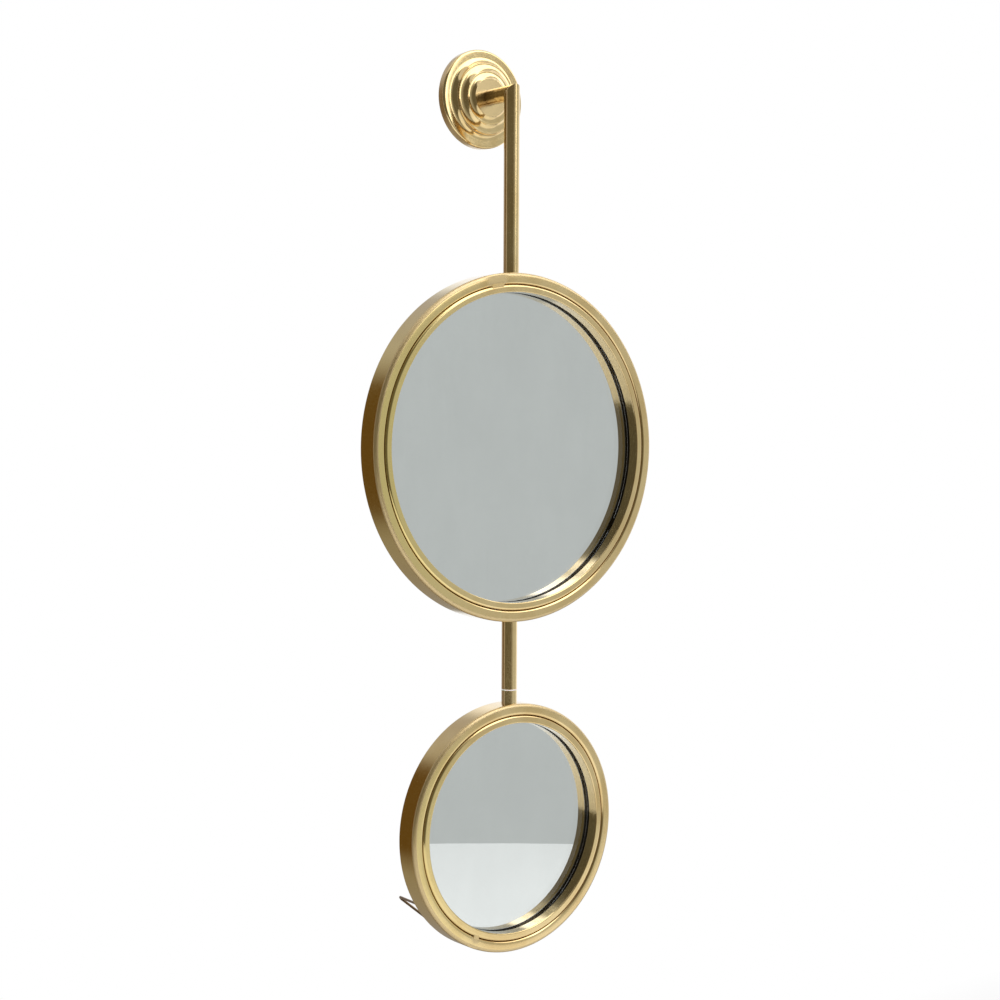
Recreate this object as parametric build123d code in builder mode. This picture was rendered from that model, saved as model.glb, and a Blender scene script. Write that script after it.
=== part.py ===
"""Wall-hung double round mirror: two brass-framed mirrors on one drop tube below a wall rosette.

Millimetres. The origin is on the wall at the centre of the rosette's back, +Z is up,
the wall is the plane y = 0 and the mirrors face -Y.
"""
from build123d import *
from math import acos, asin, atan2, cos, degrees, radians, sin
import os

# Clearances
RUNNING_FIT = 0.05
BRAZE_GAP = 0.05
COVER_CLEARANCE = 0.3
SEAT_GAP = 0.2
EDGE_CLEARANCE = 0.4

# Wall plate and its two screw holes
PLATE_THICKNESS = 3.0
SCREW_HOLE_R = 2.6
SCREW_HOLE_SPACING = 46.0

# Rosette, spun from sheet: a rim, a flat land, then three coves with narrow crests up to the plateau
ROSETTE_R = 40.2
ROSETTE_SHEET = 1.5
ROSETTE_RIM_ROUND = 2.0
LAND_HEIGHT = 7.0
FLAT_WIDTHS = (4.4, 0.9, 0.9)
COVE_WIDTHS = (5.2, 6.1, 5.2)
COVE_RISES = (5.0, 2.8, 2.2)
CREST_ROUND = 0.35

# Tubes
TUBE_R = 6.35
TUBE_WALL = 1.5
ARM_REACH = 45.0
UPPER_DROP = 144.6
LOWER_DROP = 67.4

# Spigot on the wall plate that carries the arm, and the screws that hold it
SPIGOT_FOOT_R = 9.0
SPIGOT_FOOT_THICKNESS = 3.0
SPIGOT_END_SHORT = 2.0
SPIGOT_SCREW_R = 2.5
SPIGOT_SCREW_HEAD_R = 4.7
SPIGOT_SCREW_LENGTH = 16.0
SPIGOT_SCREW_SUNK = 0.3
GRUB_R = 2.0
GRUB_TIP_R = 1.2
GRUB_SUNK = 0.2
GRUB_FROM_ROSETTE = 4.5
STOP_GROOVE_DEPTH = 1.4
PLUMB_SWING = 15.0
PLUMB_SPARE = 2.0

# Mirror frames: section across the ring and from front to back
LARGE_R = 140.4
SMALL_R = 101.3
FRAME_DEPTH = 20.5
OUTER_WIDTH = 9.3
FACE_CROWN = 0.25
OUTER_EDGE_ROUND = 3.0
BACK_EDGE_ROUND = 0.8
VALLEY_ROUND = 2.3
INNER_WIDTH = 6.3
INNER_EDGE_ROUND = 1.0
GLASS_SETBACK = 9.6

# Seams, where braze fills the valley: angle from +X as seen from the front, and width along the ring
LARGE_SEAM_ANGLE = 100.4
LARGE_SEAM_WIDTH = 15.0
SMALL_SEAM_ANGLE = -115.7
SMALL_SEAM_WIDTH = 7.0
SEAM_SUNK = 0.1
SEAM_DEPTH = 1.7

# Mirror and what is behind it
GLASS_THICKNESS = 5.0
GLASS_ARRIS = 0.3
PAD_THICKNESS = 1.0
PAD_INSET = 2.0
BOARD_THICKNESS = 3.0
TAB_THICKNESS = 0.8
TAB_WIDTH = 12.0
TAB_TONGUE = 11.0
TAB_FOOT = 4.0
TAB_START_ANGLE = 30.0
LARGE_TAB_COUNT = 6
SMALL_TAB_COUNT = 4

# Plugs that join tubes and frames
PLUG_LENGTH = 14.0
PLUG_PIN_R = 3.0
PLUG_PIN_LENGTH = 5.0

# Swivel between the lower tube and the small mirror
STUB_HEIGHT = 10.7
WASHER_THICKNESS = 0.8
SWIVEL_PLAY = 0.1
SWIVEL_SCREW_R = 2.5
SWIVEL_HEAD_R = 4.2
SWIVEL_HEAD_HEIGHT = 3.5
SWIVEL_THREAD_LENGTH = 6.0

# Wire stop between the small frame and the wall
WIRE_R = 1.05
WIRE_BEND_R = 1.6
WIRE_SPREAD = 22.0
WIRE_ROOT_ANGLE = 219.5
WIRE_ROOT_INSET = 3.4
WIRE_TIP_ANGLE = 216.6
WIRE_TIP_INSET = 6.1
WIRE_WALL_GAP = 0.2

# Places worked out from the sizes above
TUBE_BORE_R = TUBE_R - TUBE_WALL
SPIGOT_R = TUBE_BORE_R - RUNNING_FIT
ROSETTE_BORE_R = SPIGOT_R + COVER_CLEARANCE
PLATEAU_HEIGHT = LAND_HEIGHT + sum(COVE_RISES)
ARM_START = PLATEAU_HEIGHT + SEAT_GAP
SPIGOT_END = ARM_REACH - TUBE_R - SPIGOT_END_SHORT
GRUB_HEIGHT = ARM_START + GRUB_FROM_ROSETTE
GROOVE_FLOOR_R = SPIGOT_R - STOP_GROOVE_DEPTH
GROOVE_HALF_ANGLE = PLUMB_SWING + PLUMB_SPARE + degrees(asin(GRUB_TIP_R / GROOVE_FLOOR_R))
LARGE_Z = -UPPER_DROP - LARGE_R
LARGE_BOTTOM = LARGE_Z - LARGE_R
SMALL_Z = LARGE_BOTTOM - LOWER_DROP - SMALL_R
SMALL_TOP = SMALL_Z + SMALL_R
# The upper tube lies flush with the back of the large frame, and the small frame is centred on its swivel
LARGE_FRONT = -ARM_REACH + TUBE_R - FRAME_DEPTH
SMALL_FRONT = -ARM_REACH - FRAME_DEPTH / 2
WASHER_BOTTOM = SMALL_TOP + STUB_HEIGHT
LOWER_TUBE_END = WASHER_BOTTOM + WASHER_THICKNESS + SWIVEL_PLAY
GLASS_BACK = GLASS_SETBACK + GLASS_THICKNESS
PAD_BACK = GLASS_BACK + PAD_THICKNESS
BOARD_BACK = PAD_BACK + BOARD_THICKNESS

# Sections of revolved wall pieces: across is the radius, up is the distance from the wall
WALL_SECTION = Plane(origin=(0, 0, 0), x_dir=(1, 0, 0), z_dir=(0, 0, -1))
OUT_OF_WALL = Axis((0, 0, 0), (0, -1, 0))


def frame_section(front, z):
    """Section plane of a mirror: across is the radius, up is the depth behind the frame's front."""
    return Plane(origin=(0, front, z), x_dir=(1, 0, 0), z_dir=(0, 0, 1))


def frame_axis(front, z):
    """Axis of a mirror, from front to back."""
    return Axis((0, front, z), (0, 1, 0))


def facing(y, z):
    """Plane parallel to the wall at y, with its normal to the front."""
    return Plane(origin=(0, y, z), x_dir=(1, 0, 0), z_dir=(0, -1, 0))


def level(z):
    """Level plane at z, centred on the drop tubes."""
    return Plane(origin=(0, -ARM_REACH, z), z_dir=(0, 0, 1))


def save(piece, label):
    """Name a finished piece and write it."""
    piece.part.label = label
    export_step(piece.part, f"parts/{label}.step")


def cope(radius, front, z):
    """Cut the open part to the outside of a frame ring."""
    with Locations(facing(front + FRAME_DEPTH / 2, z)):
        Cylinder(radius, 2 * FRAME_DEPTH, mode=Mode.SUBTRACT)


def rosette_face(shift):
    """One face of the spun sheet, from the rim to the hole, moved in and back by shift; gives its crests."""
    rim, height = ROSETTE_R - shift, LAND_HEIGHT - shift
    start, round_h = rim - ROSETTE_RIM_ROUND, height - ROSETTE_RIM_ROUND
    crests = []
    Line((rim, 0), (rim, round_h))
    CenterArc((start, round_h), ROSETTE_RIM_ROUND, 0, 90)
    for flat, width, rise in zip(FLAT_WIDTHS, COVE_WIDTHS, COVE_RISES):
        foot = start - flat
        crest = (foot - width, height + rise)
        Line((start, height), (foot, height))
        TangentArc((foot, height), crest, tangent=(-1, 0))
        start, height = crest
        crests.append(crest)
    Line((start, height), (ROSETTE_BORE_R, height))
    return crests


def outer_ring(radius, front, z, seats):
    """Outer ring of a frame: a bar with a crowned face, and a blind hole at each tube seat."""
    inside = radius - OUTER_WIDTH
    with BuildPart() as ring:
        with BuildSketch(frame_section(front, z)) as section:
            with BuildLine():
                Polyline((inside, FACE_CROWN), (inside, FRAME_DEPTH),
                         (radius, FRAME_DEPTH), (radius, FACE_CROWN))
                ThreePointArc((radius, FACE_CROWN), (radius - OUTER_WIDTH / 2, 0), (inside, FACE_CROWN))
            make_face()
            fillet(section.vertices().group_by(Axis.Y)[-1], BACK_EDGE_ROUND)
            front_edges = section.vertices().group_by(Axis.Y)[0].sort_by(Axis.X)
            fillet(front_edges[0], VALLEY_ROUND)
            fillet(section.vertices().group_by(Axis.X)[-1].sort_by(Axis.Y)[0], OUTER_EDGE_ROUND)
        revolve(axis=frame_axis(front, z))
        for side in seats:
            with BuildSketch(level(z + side * radius)):
                Circle(PLUG_PIN_R + BRAZE_GAP)
            extrude(amount=-side * (PLUG_PIN_LENGTH + BRAZE_GAP), mode=Mode.SUBTRACT)
    return ring


def inner_ring(radius, front, z):
    """Inner ring of a frame: a bar that the glass seats on, brazed inside the outer ring."""
    bar_out = radius - OUTER_WIDTH - BRAZE_GAP
    bar_in = bar_out - INNER_WIDTH
    with BuildPart() as ring:
        with BuildSketch(frame_section(front, z)) as section:
            with BuildLine():
                Polyline((bar_in, 0), (bar_out, 0), (bar_out, GLASS_SETBACK), (bar_in, GLASS_SETBACK),
                         close=True)
            make_face()
            front_edges = section.vertices().group_by(Axis.Y)[0].sort_by(Axis.X)
            fillet(front_edges[-1], VALLEY_ROUND)
            fillet(front_edges[0], INNER_EDGE_ROUND)
        revolve(axis=frame_axis(front, z))
    return ring


def seam_bridge(radius, front, z, angle, width, rings):
    """Braze that fills the valley where the rings' ends meet, filed just below both faces."""
    valley = radius - OUTER_WIDTH - BRAZE_GAP / 2
    with BuildPart() as bridge:
        with BuildSketch(facing(front + SEAM_DEPTH, z)):
            with PolarLocations(valley, 1, angle):
                Rectangle(4 * VALLEY_ROUND, width)
            Circle(valley + VALLEY_ROUND, mode=Mode.INTERSECT)
            Circle(valley - VALLEY_ROUND, mode=Mode.SUBTRACT)
        extrude(amount=SEAM_DEPTH - SEAM_SUNK)
        for ring in rings:
            add(ring.part, mode=Mode.SUBTRACT)
    return bridge


def disc(radius, front, z, start, thickness, arris=0.0):
    """Round sheet behind a frame's front: the glass, the pad or the board."""
    with BuildPart() as sheet:
        with BuildSketch(facing(front + start, z)):
            Circle(radius)
        extrude(amount=-thickness)
        if arris:
            chamfer(sheet.edges(), arris)
    return sheet


def retaining_tabs(radius, front, z, count):
    """Tabs brazed inside the outer ring and bent over the back of the board."""
    wall = radius - OUTER_WIDTH
    with BuildPart() as tabs:
        with BuildSketch(facing(front + BOARD_BACK - TAB_FOOT, z)):
            with PolarLocations(wall, count, TAB_START_ANGLE):
                Rectangle(4 * TAB_THICKNESS, TAB_WIDTH)
            Circle(wall, mode=Mode.INTERSECT)
            Circle(wall - TAB_THICKNESS, mode=Mode.SUBTRACT)
        extrude(amount=-TAB_FOOT)
        with BuildSketch(facing(front + BOARD_BACK, z)):
            with PolarLocations(wall - TAB_TONGUE / 2, count, TAB_START_ANGLE):
                Rectangle(2 * TAB_TONGUE, TAB_WIDTH)
            Circle(wall, mode=Mode.INTERSECT)
            Circle(wall - TAB_TONGUE, mode=Mode.SUBTRACT)
        extrude(amount=-TAB_THICKNESS)
    return tabs


def tube_plug(seat, side):
    """Plug in a tube's end with a pin into the frame; side is 1 above the frame and -1 below it."""
    with BuildPart() as plug:
        with BuildSketch(level(seat)):
            Circle(TUBE_BORE_R - BRAZE_GAP)
        extrude(amount=side * PLUG_LENGTH)
        with BuildSketch(level(seat)):
            Circle(PLUG_PIN_R)
        extrude(amount=-side * PLUG_PIN_LENGTH)
    return plug


def tangent_point(point, centre, radius, turn):
    """Point where a line from point touches a circle, on the side that turn gives."""
    across, along = point[0] - centre[0], point[1] - centre[1]
    angle = atan2(along, across) + turn * acos(radius / (across ** 2 + along ** 2) ** 0.5)
    return (centre[0] + radius * cos(angle), centre[1] + radius * sin(angle))


def mirror_pieces(name, radius, front, z, seats, seam_angle, seam_width, tab_count):
    """Frame, seam, glass, pad, board and tabs of one mirror."""
    glass_r = radius - OUTER_WIDTH - TAB_THICKNESS - EDGE_CLEARANCE
    outer = outer_ring(radius, front, z, seats)
    inner = inner_ring(radius, front, z)
    save(outer, f"{name}_outer_ring")
    save(inner, f"{name}_inner_ring")
    save(seam_bridge(radius, front, z, seam_angle, seam_width, (outer, inner)), f"{name}_seam_bridge")
    glass = disc(glass_r, front, z, GLASS_SETBACK, GLASS_THICKNESS, GLASS_ARRIS)
    save(glass, f"{name}_mirror_glass")
    save(disc(glass_r - PAD_INSET, front, z, GLASS_BACK, PAD_THICKNESS), f"{name}_backing_pad")
    save(disc(glass_r, front, z, PAD_BACK, BOARD_THICKNESS), f"{name}_backing_board")
    save(retaining_tabs(radius, front, z, tab_count), f"{name}_retaining_tabs")


os.makedirs("parts", exist_ok=True)

# Wall plate: a disc inside the rosette with two screw holes and a countersunk hole for the spigot's screw
screw_clear_r = SPIGOT_SCREW_R + BRAZE_GAP
sink_r = SPIGOT_SCREW_HEAD_R + SPIGOT_SCREW_SUNK + BRAZE_GAP
with BuildPart() as wall_plate:
    plate_r = ROSETTE_R - ROSETTE_SHEET - COVER_CLEARANCE
    with BuildSketch(WALL_SECTION):
        with BuildLine():
            Polyline((sink_r, 0), (plate_r, 0), (plate_r, PLATE_THICKNESS),
                     (screw_clear_r, PLATE_THICKNESS), (screw_clear_r, sink_r - screw_clear_r), close=True)
        make_face()
    revolve(axis=OUT_OF_WALL)
    with BuildSketch(facing(0, 0)):
        with GridLocations(SCREW_HOLE_SPACING, 0, 2, 1):
            Circle(SCREW_HOLE_R)
    extrude(amount=PLATE_THICKNESS, mode=Mode.SUBTRACT)
save(wall_plate, "wall_plate")

# Rosette: the spun cover over the wall plate
with BuildPart() as rosette:
    with BuildSketch(WALL_SECTION) as section:
        with BuildLine():
            crests = rosette_face(0)
            rosette_face(ROSETTE_SHEET)
            Line((ROSETTE_R, 0), (ROSETTE_R - ROSETTE_SHEET, 0))
            Line((ROSETTE_BORE_R, PLATEAU_HEIGHT), (ROSETTE_BORE_R, PLATEAU_HEIGHT - ROSETTE_SHEET))
        make_face()
        fillet([section.vertices().sort_by_distance(crest)[0] for crest in crests], CREST_ROUND)
    revolve(axis=OUT_OF_WALL)
save(rosette, "rosette")

# Spigot: a turned foot and shaft that the arm turns on, with a groove part-way round for the grub screw
with BuildPart() as wall_spigot:
    with BuildSketch(WALL_SECTION):
        with BuildLine():
            foot_top = PLATE_THICKNESS + SPIGOT_FOOT_THICKNESS
            hole_end = SPIGOT_SCREW_SUNK + SPIGOT_SCREW_LENGTH + BRAZE_GAP
            Polyline((screw_clear_r, PLATE_THICKNESS), (SPIGOT_FOOT_R, PLATE_THICKNESS),
                     (SPIGOT_FOOT_R, foot_top), (SPIGOT_R, foot_top), (SPIGOT_R, SPIGOT_END),
                     (0, SPIGOT_END), (0, hole_end), (screw_clear_r, hole_end), close=True)
        make_face()
    revolve(axis=OUT_OF_WALL)
    start = radians(-90 - GROOVE_HALF_ANGLE)
    groove_plane = Plane(origin=(0, -GRUB_HEIGHT, 0), x_dir=(cos(start), 0, sin(start)),
                         z_dir=(sin(start), 0, -cos(start)))
    with BuildSketch(groove_plane):
        with Locations((GROOVE_FLOOR_R, 0)):
            Rectangle(2 * STOP_GROOVE_DEPTH, 2 * (GRUB_TIP_R + RUNNING_FIT),
                      align=(Align.MIN, Align.CENTER))
    revolve(axis=OUT_OF_WALL, revolution_arc=2 * GROOVE_HALF_ANGLE, mode=Mode.SUBTRACT)
save(wall_spigot, "wall_spigot")

# Countersunk screw from the back of the plate into the spigot
with BuildPart() as spigot_screw:
    head_end = SPIGOT_SCREW_SUNK + SPIGOT_SCREW_HEAD_R - SPIGOT_SCREW_R
    screw_end = SPIGOT_SCREW_SUNK + SPIGOT_SCREW_LENGTH
    with BuildSketch(WALL_SECTION):
        with BuildLine():
            Polyline((0, SPIGOT_SCREW_SUNK), (SPIGOT_SCREW_HEAD_R, SPIGOT_SCREW_SUNK),
                     (SPIGOT_SCREW_R, head_end), (SPIGOT_SCREW_R, screw_end), (0, screw_end), close=True)
        make_face()
    revolve(axis=OUT_OF_WALL)
save(spigot_screw, "spigot_screw")

# Arm and upper tube meet in a mitre at the corner above the large mirror
mitre = Plane(origin=(0, -ARM_REACH, 0), z_dir=(0, 1, 1))
with BuildPart() as arm_tube:
    with BuildSketch(facing(-ARM_START, 0)):
        Circle(TUBE_R)
        Circle(TUBE_BORE_R, mode=Mode.SUBTRACT)
    extrude(amount=ARM_REACH + TUBE_R - ARM_START)
    split(bisect_by=mitre, keep=Keep.TOP)
    with BuildSketch(Plane.XY):
        with Locations((0, -GRUB_HEIGHT)):
            Circle(GRUB_R + BRAZE_GAP)
    extrude(amount=-TUBE_R, mode=Mode.SUBTRACT)
save(arm_tube, "arm_tube")

with BuildPart() as upper_tube:
    with BuildSketch(level(-UPPER_DROP - TUBE_R)):
        Circle(TUBE_R)
        Circle(TUBE_BORE_R, mode=Mode.SUBTRACT)
    extrude(amount=UPPER_DROP + 2 * TUBE_R)
    split(bisect_by=mitre, keep=Keep.BOTTOM)
    cope(LARGE_R, LARGE_FRONT, LARGE_Z)
save(upper_tube, "upper_tube")

# Grub screw under the arm, with a thin point that runs in the spigot's groove
with BuildPart() as arm_grub_screw:
    grub_shoulder = SPIGOT_R + 2 * RUNNING_FIT
    with BuildSketch(Plane(origin=(0, -GRUB_HEIGHT, -(TUBE_R - GRUB_SUNK)))):
        Circle(GRUB_R)
    extrude(amount=TUBE_R - GRUB_SUNK - grub_shoulder)
    with BuildSketch(Plane(origin=(0, -GRUB_HEIGHT, -grub_shoulder))):
        Circle(GRUB_TIP_R)
    extrude(amount=grub_shoulder - GROOVE_FLOOR_R - 2 * RUNNING_FIT)
save(arm_grub_screw, "arm_grub_screw")

save(tube_plug(-UPPER_DROP, 1), "upper_tube_plug")
save(tube_plug(LARGE_BOTTOM, -1), "lower_tube_plug")

# Lower tube between the frames, and the bush in its lower end
with BuildPart() as lower_tube:
    with BuildSketch(level(LOWER_TUBE_END)):
        Circle(TUBE_R)
        Circle(TUBE_BORE_R, mode=Mode.SUBTRACT)
    extrude(amount=LARGE_BOTTOM + TUBE_R - LOWER_TUBE_END)
    cope(LARGE_R, LARGE_FRONT, LARGE_Z)
save(lower_tube, "lower_tube")

with BuildPart() as swivel_bush:
    with BuildSketch(level(LOWER_TUBE_END)):
        Circle(TUBE_BORE_R - BRAZE_GAP)
        Circle(SWIVEL_SCREW_R + RUNNING_FIT, mode=Mode.SUBTRACT)
    extrude(amount=PLUG_LENGTH)
save(swivel_bush, "swivel_bush")

# Swivel: a shouldered screw hangs in the bush and carries the small mirror's stub
with BuildPart() as swivel_screw:
    head_seat = LOWER_TUBE_END + PLUG_LENGTH + SWIVEL_PLAY
    with BuildSketch(level(WASHER_BOTTOM - SWIVEL_THREAD_LENGTH)):
        Circle(SWIVEL_SCREW_R)
    extrude(amount=head_seat - WASHER_BOTTOM + SWIVEL_THREAD_LENGTH)
    with BuildSketch(level(head_seat)):
        Circle(SWIVEL_HEAD_R)
    extrude(amount=SWIVEL_HEAD_HEIGHT)
save(swivel_screw, "swivel_screw")

with BuildPart() as swivel_washer:
    with BuildSketch(level(WASHER_BOTTOM)):
        Circle(TUBE_R)
        Circle(SWIVEL_SCREW_R + COVER_CLEARANCE, mode=Mode.SUBTRACT)
    extrude(amount=WASHER_THICKNESS)
save(swivel_washer, "swivel_washer")

with BuildPart() as small_stub:
    with BuildSketch(level(SMALL_TOP - TUBE_R)):
        Circle(TUBE_R)
    extrude(amount=STUB_HEIGHT + TUBE_R)
    cope(SMALL_R, SMALL_FRONT, SMALL_Z)
    with BuildSketch(level(SMALL_TOP - PLUG_PIN_LENGTH)):
        Circle(PLUG_PIN_R)
    extrude(amount=PLUG_PIN_LENGTH + STUB_HEIGHT)
    with BuildSketch(level(WASHER_BOTTOM)):
        Circle(SWIVEL_SCREW_R + BRAZE_GAP)
    extrude(amount=-SWIVEL_THREAD_LENGTH - BRAZE_GAP, mode=Mode.SUBTRACT)
save(small_stub, "small_stub")

mirror_pieces("large", LARGE_R, LARGE_FRONT, LARGE_Z, (1, -1), LARGE_SEAM_ANGLE, LARGE_SEAM_WIDTH,
              LARGE_TAB_COUNT)
mirror_pieces("small", SMALL_R, SMALL_FRONT, SMALL_Z, (1,), SMALL_SEAM_ANGLE, SMALL_SEAM_WIDTH,
              SMALL_TAB_COUNT)

# Wire stop: a hairpin on the back of the small frame whose tip meets the wall
wire_back = SMALL_FRONT + FRAME_DEPTH
wire_root_r = SMALL_R - WIRE_ROOT_INSET
wire_tip_r = SMALL_R - WIRE_TIP_INSET
root = radians(WIRE_ROOT_ANGLE)
tip = radians(WIRE_TIP_ANGLE)
root_point = Vector(wire_root_r * cos(root), wire_back, SMALL_Z + wire_root_r * sin(root))
tip_point = Vector(wire_tip_r * cos(tip), -WIRE_WALL_GAP - WIRE_R, SMALL_Z + wire_tip_r * sin(tip))
along_ring = Vector(-sin(root), 0, cos(root))
reach = tip_point - root_point
lean = reach.dot(along_ring)
outward = (reach - along_ring * lean).normalized()
length = reach.dot(outward)
wire_plane = Plane(origin=root_point, x_dir=along_ring, z_dir=along_ring.cross(outward))
bend = (lean, length - WIRE_BEND_R)
legs = [(side * WIRE_SPREAD / 2, 0) for side in (-1, 1)]
touches = [tangent_point(leg, bend, WIRE_BEND_R, turn) for leg, turn in zip(legs, (-1, 1))]
# Each leg starts inside the frame along its own line and is then cut flush with the frame's back
starts = [(2 * leg[0] - touch[0], 2 * leg[1] - touch[1]) for leg, touch in zip(legs, touches)]
with BuildPart() as wire_stop:
    with BuildLine(wire_plane) as hairpin:
        Line(starts[0], touches[0])
        ThreePointArc(touches[0], (lean, length), touches[1])
        Line(touches[1], starts[1])
    with BuildSketch(Plane(hairpin.line @ 0, z_dir=hairpin.line % 0)):
        Circle(WIRE_R)
    sweep()
    split(bisect_by=Plane(origin=root_point, z_dir=(0, 1, 0)), keep=Keep.TOP)
save(wire_stop, "wire_stop")
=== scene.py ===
"""Wall-hung double round mirror: frames, glass, tubes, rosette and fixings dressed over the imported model."""
import math

import bmesh
import bpy
from bpy.props import FloatProperty, FloatVectorProperty, IntProperty, PointerProperty
from mathutils import Matrix, Vector, noise


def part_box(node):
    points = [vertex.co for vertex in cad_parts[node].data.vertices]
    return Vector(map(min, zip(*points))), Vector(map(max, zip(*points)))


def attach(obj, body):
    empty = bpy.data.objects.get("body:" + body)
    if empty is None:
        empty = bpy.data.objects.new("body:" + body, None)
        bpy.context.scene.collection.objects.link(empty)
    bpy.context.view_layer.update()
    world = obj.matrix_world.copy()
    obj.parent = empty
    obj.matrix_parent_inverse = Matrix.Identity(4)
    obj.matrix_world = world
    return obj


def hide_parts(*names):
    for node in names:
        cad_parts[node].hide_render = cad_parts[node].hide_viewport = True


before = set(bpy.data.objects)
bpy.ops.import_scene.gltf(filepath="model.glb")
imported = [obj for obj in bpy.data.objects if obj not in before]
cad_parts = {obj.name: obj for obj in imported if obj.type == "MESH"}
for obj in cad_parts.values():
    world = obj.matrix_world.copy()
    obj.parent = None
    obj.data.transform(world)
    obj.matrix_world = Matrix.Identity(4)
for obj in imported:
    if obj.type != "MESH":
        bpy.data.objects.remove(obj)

bl_info = {
    "name": "Double Round Wall Mirror",
    "version": (1, 0, 0),
    "blender": (4, 5, 0),
    "location": "3D View > Sidebar > Wall Mirror",
    "description": "Builds the frames, glass, tubes and fixings of a double round wall mirror",
    "category": "Mesh",
}

MM = 0.001
FULL_TURN = 2 * math.pi
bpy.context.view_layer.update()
MIRRORS = {"large": "hanger", "small": "small_mirror"}
TABS = {"large": 6, "small": 4}
TAB_CORNER = 2.5 * MM
BACKING_GAP = 0.06 * MM  # keeps the glass's faces apart from those they lie against
SEAT_EDGES = 0.2 * MM, 0.35 * MM  # rounds on the inner ring's outside and inside edge at the glass
BOARD_BEVEL = 0.5 * MM
TUBE_EASE, WASHER_EASE, STUB_EASE = 0.12 * MM, 0.2 * MM, 0.15 * MM
WASHER_BORE, STUB_BORE = 2.8 * MM, 2.55 * MM
SPIGOT_SHANK, SPIGOT_SOCKET = 2.5 * MM, (1.7 * MM, 2.2 * MM)  # a socket has a radius and a depth
GRUB_THREAD, GRUB_POINT, GRUB_SOCKET = 1.25 * MM, 1.2 * MM, (1.0 * MM, 0.9 * MM)
SHARP_ANGLE = math.radians(38)
EDGE_STEPS, SCREW_STEPS, ROSETTE_STEPS, SURROUND_STEPS, WIRE_STEPS = 9, 48, 240, 96, 20
SENSOR_WIDTH = 36
# FLOOR_SHADING: distances from the wall over which a painted shade on the floor fades out
FLOOR_SHADING, FLOOR_FADE = (100 * MM, 700 * MM), 500 * MM  # distances from the wall

# Scales of the finishes' grain, in a metre; TURNED_ALONG is in a radian
CLOUDS, FINE_CLOUDS, MOTTLE, SPECKS = 26.0, 60.0, 520.0, 800.0
DRAWN_ACROSS, DRAWN_ALONG = 3600.0, 45.0
TURNED_ACROSS, TURNED_ALONG = 5200.0, 9.0
FILED_ACROSS, FILED_ALONG = 2600.0, 420.0


def length_of(name, description, millimetres):
    """Setting for a length."""
    return FloatProperty(name=name, description=description, default=millimetres * MM, unit="LENGTH")


def lengths_of(name, description, *millimetres, subtype="NONE"):
    """Setting for a few lengths, or for a place."""
    return FloatVectorProperty(name=name, description=description, default=[part * MM for part in millimetres],
                               size=len(millimetres), subtype=subtype, unit="LENGTH")


def angle_of(name, description, degrees):
    """Setting for an angle."""
    return FloatProperty(name=name, description=description, default=math.radians(degrees), subtype="ANGLE")


def colour_of(name, description, *value, brightest=1):
    """Setting for a colour."""
    return FloatVectorProperty(name=name, description=description, default=value, size=3, subtype="COLOR",
                               min=0, max=brightest)


class FrameSizes(bpy.types.PropertyGroup):
    """Section of the two mirror frames, and their seams."""
    outer_width: length_of("Outer width", "Width of the outer ring's bar", 9.3)
    face_crown: length_of("Face crown", "How far the front face bulges", 0.25)
    outer_edge: length_of("Outer edge", "Round on the front outer edge", 3.0)
    back_edge: length_of("Back edge", "Round on the back edges", 0.8)
    valley_round: length_of("Valley round", "Round of both rings into the valley between them", 2.3)
    braze_gap: length_of("Braze gap", "Gap between the two rings", 0.05)
    inner_width: length_of("Inner width", "Width of the inner ring's bar", 6.3)
    inner_edge: length_of("Inner edge", "Round on the inner ring's inside edge", 1.0)
    seam_edge: length_of("Seam edge", "Round left on the outer edge where the seam is built up with braze", 1.4)
    seam_sunk: length_of("Seam sunk", "How far the filed braze lies below the faces", 0.1)
    large_seam_angle: angle_of("Large seam angle", "Place of the large frame's seam round the ring", 100.4)
    large_seam_width: length_of("Large seam width", "Length of the large frame's braze along the valley", 15.0)
    small_seam_angle: angle_of("Small seam angle", "Place of the small frame's seam round the ring", -115.7)
    small_seam_width: length_of("Small seam width", "Length of the small frame's braze along the valley", 7.0)
    steps: IntProperty(name="Steps round a ring", description="Number of faces round each ring", default=360, min=48)


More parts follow.
